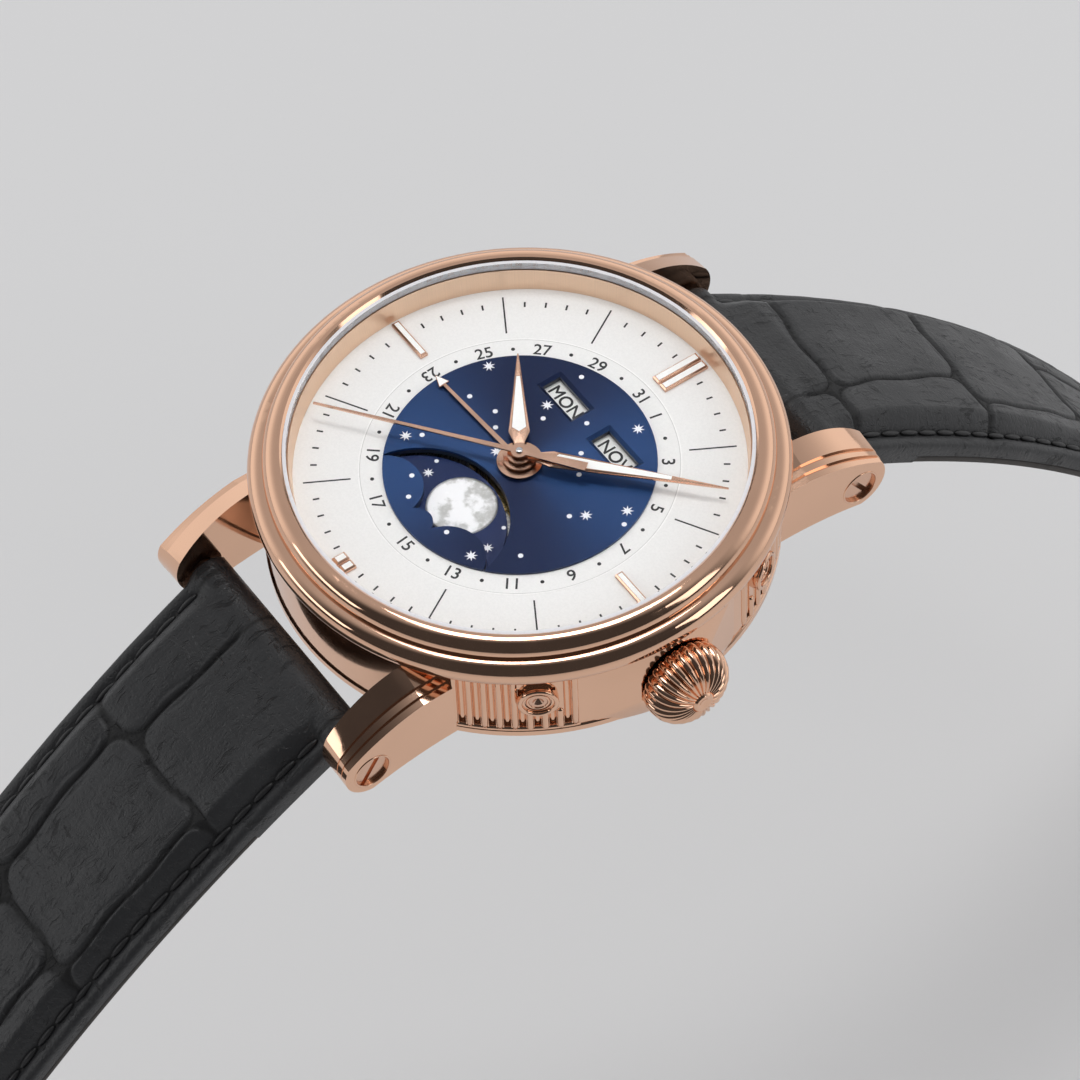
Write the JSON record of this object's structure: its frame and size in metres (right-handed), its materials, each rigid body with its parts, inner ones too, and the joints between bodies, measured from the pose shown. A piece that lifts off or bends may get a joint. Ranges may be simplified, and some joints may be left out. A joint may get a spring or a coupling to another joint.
{
  "type": "moon phase wristwatch",
  "caption": "Round wristwatch with moon phase, day, month and pointer date on a two-tone dial, rolled bezel, fluted onion crown, open leather strap with pin buckle.",
  "frame": {"origin": "middle of the case back's outer face, where the watch rests on the wrist", "axes": "+Z out of the dial, +X to the crown at three o'clock, +Y to twelve o'clock"},
  "size_m": [0.0444, 0.1678, 0.0978],
  "materials": {
    "case_gold": "polished rose gold plating, brushed in the caseband",
    "trim_gold": "polished rose gold plating",
    "clear_crystal": "polished",
    "pale_gasket": "satin",
    "black_seal": "matt",
    "steel": "satin",
    "plated_plate": "circular graining",
    "wheel_brass": "polished",
    "ruby": "polished",
    "dial_white": "satin silvered white",
    "dial_blue": "sunray lacquer",
    "moon_blue": "gloss lacquer",
    "print_disc": "satin white",
    "spring_blue": "blued",
    "rotor_metal": "striped",
    "black_leather": "semi-matt alligator grain",
    "lining_leather": "matt calf"
  },
  "bodies": {
    "watch": {"middle_case": "case_gold", "bezel": "case_gold", "crystal": "clear_crystal", "crystal_gasket": "pale_gasket", "rehaut_ring": "trim_gold", "case_back": "case_gold", "case_back_glass": "clear_crystal", "case_back_gasket": "black_seal", "case_back_screws": "steel", "crown_tube": "steel", "lug_bars": "steel", "lug_screws": "trim_gold", "movement_ring": "steel", "main_plate": "plated_plate", "barrel_bridge": "plated_plate", "train_bridge": "plated_plate", "balance_cock": "plated_plate", "movement_screws": "steel", "jewels": "ruby", "calendar_plate": "plated_plate", "dial_plate": "dial_white", "centre_disc": "dial_blue", "hour_markers": "trim_gold", "rotor_bearing": "steel"},
    "crown_slider": {"crown_gasket": "black_seal"},
    "crown_knob": {"crown": "case_gold", "winding_stem": "steel"},
    "pusher_2h": {"corrector_2h": "trim_gold"},
    "pusher_4h": {"corrector_4h": "trim_gold"},
    "pusher_8h": {"corrector_8h": "trim_gold"},
    "pusher_10h": {"corrector_10h": "trim_gold"},
    "seconds": {"fourth_wheel": "wheel_brass", "seconds_hand": "trim_gold"},
    "third": {"third_wheel": "wheel_brass"},
    "second": {"second_wheel": "wheel_brass"},
    "mainspring_barrel": {"barrel": "wheel_brass"},
    "escape": {"escape_wheel": "steel"},
    "pallets": {"pallet_fork": "steel"},
    "balance": {"balance_wheel": "wheel_brass", "balance_spring": "spring_blue"},
    "minutes": {"cannon_pinion": "steel", "minute_hand": "trim_gold"},
    "motion_wheel": {"minute_wheel": "wheel_brass"},
    "hours": {"hour_wheel": "wheel_brass", "hour_hand": "trim_gold"},
    "date": {"date_wheel": "wheel_brass", "date_hand": "trim_gold"},
    "day": {"day_disc": "print_disc"},
    "month": {"month_disc": "print_disc"},
    "moon": {"moon_disc": "moon_blue"},
    "winding_rotor": {"rotor": "rotor_metal"},
    "strap_12": {"strap_short": "black_leather", "strap_short_lining": "lining_leather", "fixed_keeper": "black_leather"},
    "loose_keeper": {"free_keeper": "black_leather"},
    "buckle": {"buckle_frame": "trim_gold", "buckle_bar": "steel"},
    "tongue": {"buckle_tongue": "trim_gold"},
    "strap_6": {"strap_long": "black_leather", "strap_long_lining": "lining_leather"}
  },
  "joints": [
    {"name": "crown_pull", "type": "slide", "parent": "watch", "child": "crown_slider", "axis": [1, 0, 0], "range_m": [0, 0.001]},
    {"name": "crown_turn", "type": "hinge", "parent": "crown_slider", "child": "crown_knob", "pos_m": [0.022, 0, 0.0046], "axis": [1, 0, 0], "continuous": true},
    {"name": "corrector_2h_press", "type": "slide", "parent": "watch", "child": "pusher_2h", "axis": [-0.8563, -0.5165, 0], "range_m": [0, 0.00075], "stiffness_N_per_m": 20, "springref_m": -0.0005},
    {"name": "corrector_4h_press", "type": "slide", "parent": "watch", "child": "pusher_4h", "axis": [-0.8563, 0.5165, 0], "range_m": [0, 0.00075], "stiffness_N_per_m": 20, "springref_m": -0.0005},
    {"name": "corrector_8h_press", "type": "slide", "parent": "watch", "child": "pusher_8h", "axis": [0.8563, 0.5165, 0], "range_m": [0, 0.00075], "stiffness_N_per_m": 20, "springref_m": -0.0005},
    {"name": "corrector_10h_press", "type": "slide", "parent": "watch", "child": "pusher_10h", "axis": [0.8563, -0.5165, 0], "range_m": [0, 0.00075], "stiffness_N_per_m": 20, "springref_m": -0.0005},
    {"name": "seconds_turn", "type": "hinge", "parent": "watch", "child": "seconds", "pos_m": [0, 0, 0.004], "axis": [0, 0, -1], "continuous": true},
    {"name": "third_turn", "type": "hinge", "parent": "watch", "child": "third", "pos_m": [-0.0003, 0.00339, 0.004], "axis": [0, 0, -1], "continuous": true},
    {"name": "second_turn", "type": "hinge", "parent": "watch", "child": "second", "pos_m": [-0.00341, 0.00519, 0.004], "axis": [0, 0, -1], "continuous": true},
    {"name": "barrel_turn", "type": "hinge", "parent": "watch", "child": "mainspring_barrel", "pos_m": [-0.00722, 0.00269, 0.004], "axis": [0, 0, -1], "continuous": true},
    {"name": "escape_turn", "type": "hinge", "parent": "watch", "child": "escape", "pos_m": [0.00113, -0.0031, 0.004], "axis": [0, 0, -1], "continuous": true},
    {"name": "minutes_turn", "type": "hinge", "parent": "watch", "child": "minutes", "pos_m": [0, 0, 0.004], "axis": [0, 0, -1], "continuous": true},
    {"name": "motion_wheel_turn", "type": "hinge", "parent": "watch", "child": "motion_wheel", "pos_m": [0.00175, -0.00303, 0.004], "axis": [0, 0, -1], "continuous": true},
    {"name": "hours_turn", "type": "hinge", "parent": "watch", "child": "hours", "pos_m": [0, 0, 0.004], "axis": [0, 0, -1], "continuous": true},
    {"name": "date_turn", "type": "hinge", "parent": "watch", "child": "date", "pos_m": [0, 0, 0.004], "axis": [0, 0, -1], "continuous": true},
    {"name": "day_turn", "type": "hinge", "parent": "watch", "child": "day", "pos_m": [-0.0076, 0.0044, 0.004], "axis": [0, 0, -1], "continuous": true},
    {"name": "month_turn", "type": "hinge", "parent": "watch", "child": "month", "pos_m": [0.0076, 0.0044, 0.004], "axis": [0, 0, -1], "continuous": true},
    {"name": "moon_turn", "type": "hinge", "parent": "watch", "child": "moon", "pos_m": [0, -0.0096, 0.004], "axis": [0, 0, -1], "continuous": true},
    {"name": "rotor_turn", "type": "hinge", "parent": "watch", "child": "winding_rotor", "pos_m": [0, 0, 0.004], "axis": [0, 0, -1], "continuous": true},
    {"name": "balance_swing", "type": "hinge", "parent": "watch", "child": "balance", "pos_m": [0.0046, -0.0056, 0.004], "axis": [0, 0, -1], "range_deg": [-150, 150], "stiffness_Nm_per_rad": 0.00000016},
    {"name": "pallets_rock", "type": "hinge", "parent": "watch", "child": "pallets", "pos_m": [0.00302, -0.00446, 0.004], "axis": [0, 0, -1], "range_deg": [-2.5, 2.5]},
    {"name": "strap_12_swing", "type": "hinge", "parent": "watch", "child": "strap_12", "pos_m": [0, 0.0224, 0.0022], "axis": [1, 0, 0], "range_deg": [-60, 50]},
    {"name": "strap_6_swing", "type": "hinge", "parent": "watch", "child": "strap_6", "pos_m": [0, -0.0224, 0.0022], "axis": [-1, 0, 0], "range_deg": [-50, 45]},
    {"name": "keeper_slide", "type": "slide", "parent": "strap_12", "child": "loose_keeper", "axis": [0, 0.5124, -0.8587], "range_m": [-0.0025, 0.0025]},
    {"name": "buckle_swing", "type": "hinge", "parent": "strap_12", "child": "buckle", "pos_m": [0, 0.07085, -0.05365], "axis": [1, 0, 0], "range_deg": [-50, 50]},
    {"name": "tongue_lift", "type": "hinge", "parent": "buckle", "child": "tongue", "pos_m": [0, 0.07085, -0.05365], "axis": [1, 0, 0], "range_deg": [0, 75]}
  ],
  "couplings": [
    {"joint": "third_turn", "follows": "seconds_turn", "ratio": -0.13333},
    {"joint": "second_turn", "follows": "seconds_turn", "ratio": 0.016667},
    {"joint": "barrel_turn", "follows": "seconds_turn", "ratio": -0.0027778},
    {"joint": "escape_turn", "follows": "seconds_turn", "ratio": -10},
    {"joint": "minutes_turn", "follows": "seconds_turn", "ratio": 0.016667},
    {"joint": "motion_wheel_turn", "follows": "seconds_turn", "ratio": -0.0055556},
    {"joint": "hours_turn", "follows": "seconds_turn", "ratio": 0.0013889},
    {"joint": "pallets_rock", "follows": "balance_swing", "ratio": -0.016}
  ]
}
